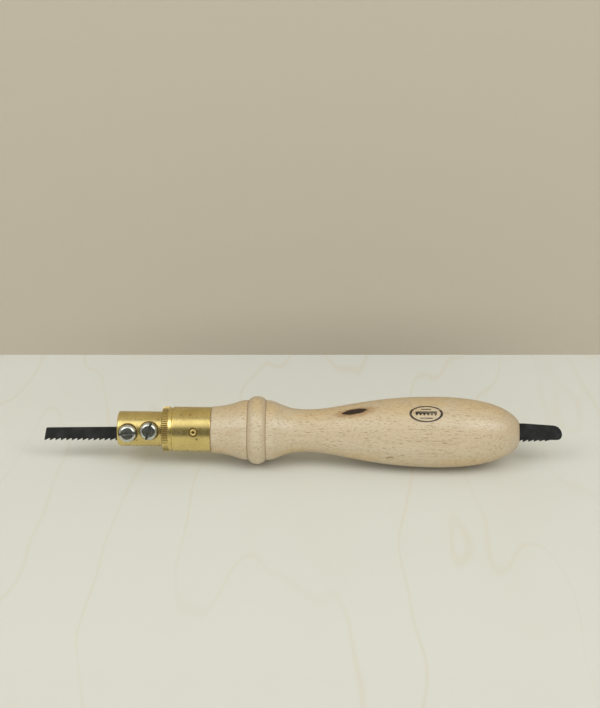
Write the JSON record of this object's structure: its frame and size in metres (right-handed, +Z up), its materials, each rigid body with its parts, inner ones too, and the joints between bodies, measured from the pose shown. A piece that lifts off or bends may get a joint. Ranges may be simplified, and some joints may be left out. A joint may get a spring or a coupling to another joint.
{
  "type": "pad saw",
  "caption": "Keyhole saw with a turned wooden handle, brass blade holder with slotted clamp screws, and a tapered blade that slides through the handle.",
  "frame": {"origin": "on the floor under the middle of the blade, below the handle axis", "axes": "+X along the handle from the toe of the blade to its heel, +Z up, clamp screws facing -Y and a little up"},
  "size_m": [0.254, 0.0346, 0.0346],
  "materials": {
    "beech": "sanded, lightly oiled",
    "brass": "turned, lightly tarnished",
    "blade_steel": "blackened satin",
    "screw_steel": "zinc plated"
  },
  "bodies": {
    "grip": {"handle": "beech", "ferrule": "brass", "ferrule_pin": "brass", "blade_holder": "brass"},
    "blade": {"blade": "blade_steel"},
    "front_screw": {"front_clamp_screw": "screw_steel"},
    "rear_screw": {"rear_clamp_screw": "screw_steel"}
  },
  "joints": [
    {"name": "blade_slide", "type": "slide", "parent": "grip", "child": "blade", "axis": [-1, -0.003, -0.0076], "range_m": [-0.036, 0.19]},
    {"name": "front_screw_turn", "type": "hinge", "parent": "grip", "child": "front_screw", "pos_m": [-0.08465, -0.00832, 0.01952], "axis": [0, -0.9304, 0.3665], "range_deg": [0, 720]},
    {"name": "rear_screw_turn", "type": "hinge", "parent": "grip", "child": "rear_screw", "pos_m": [-0.0743, -0.00788, 0.02064], "axis": [0, -0.9304, 0.3665], "range_deg": [0, 720]}
  ]
}
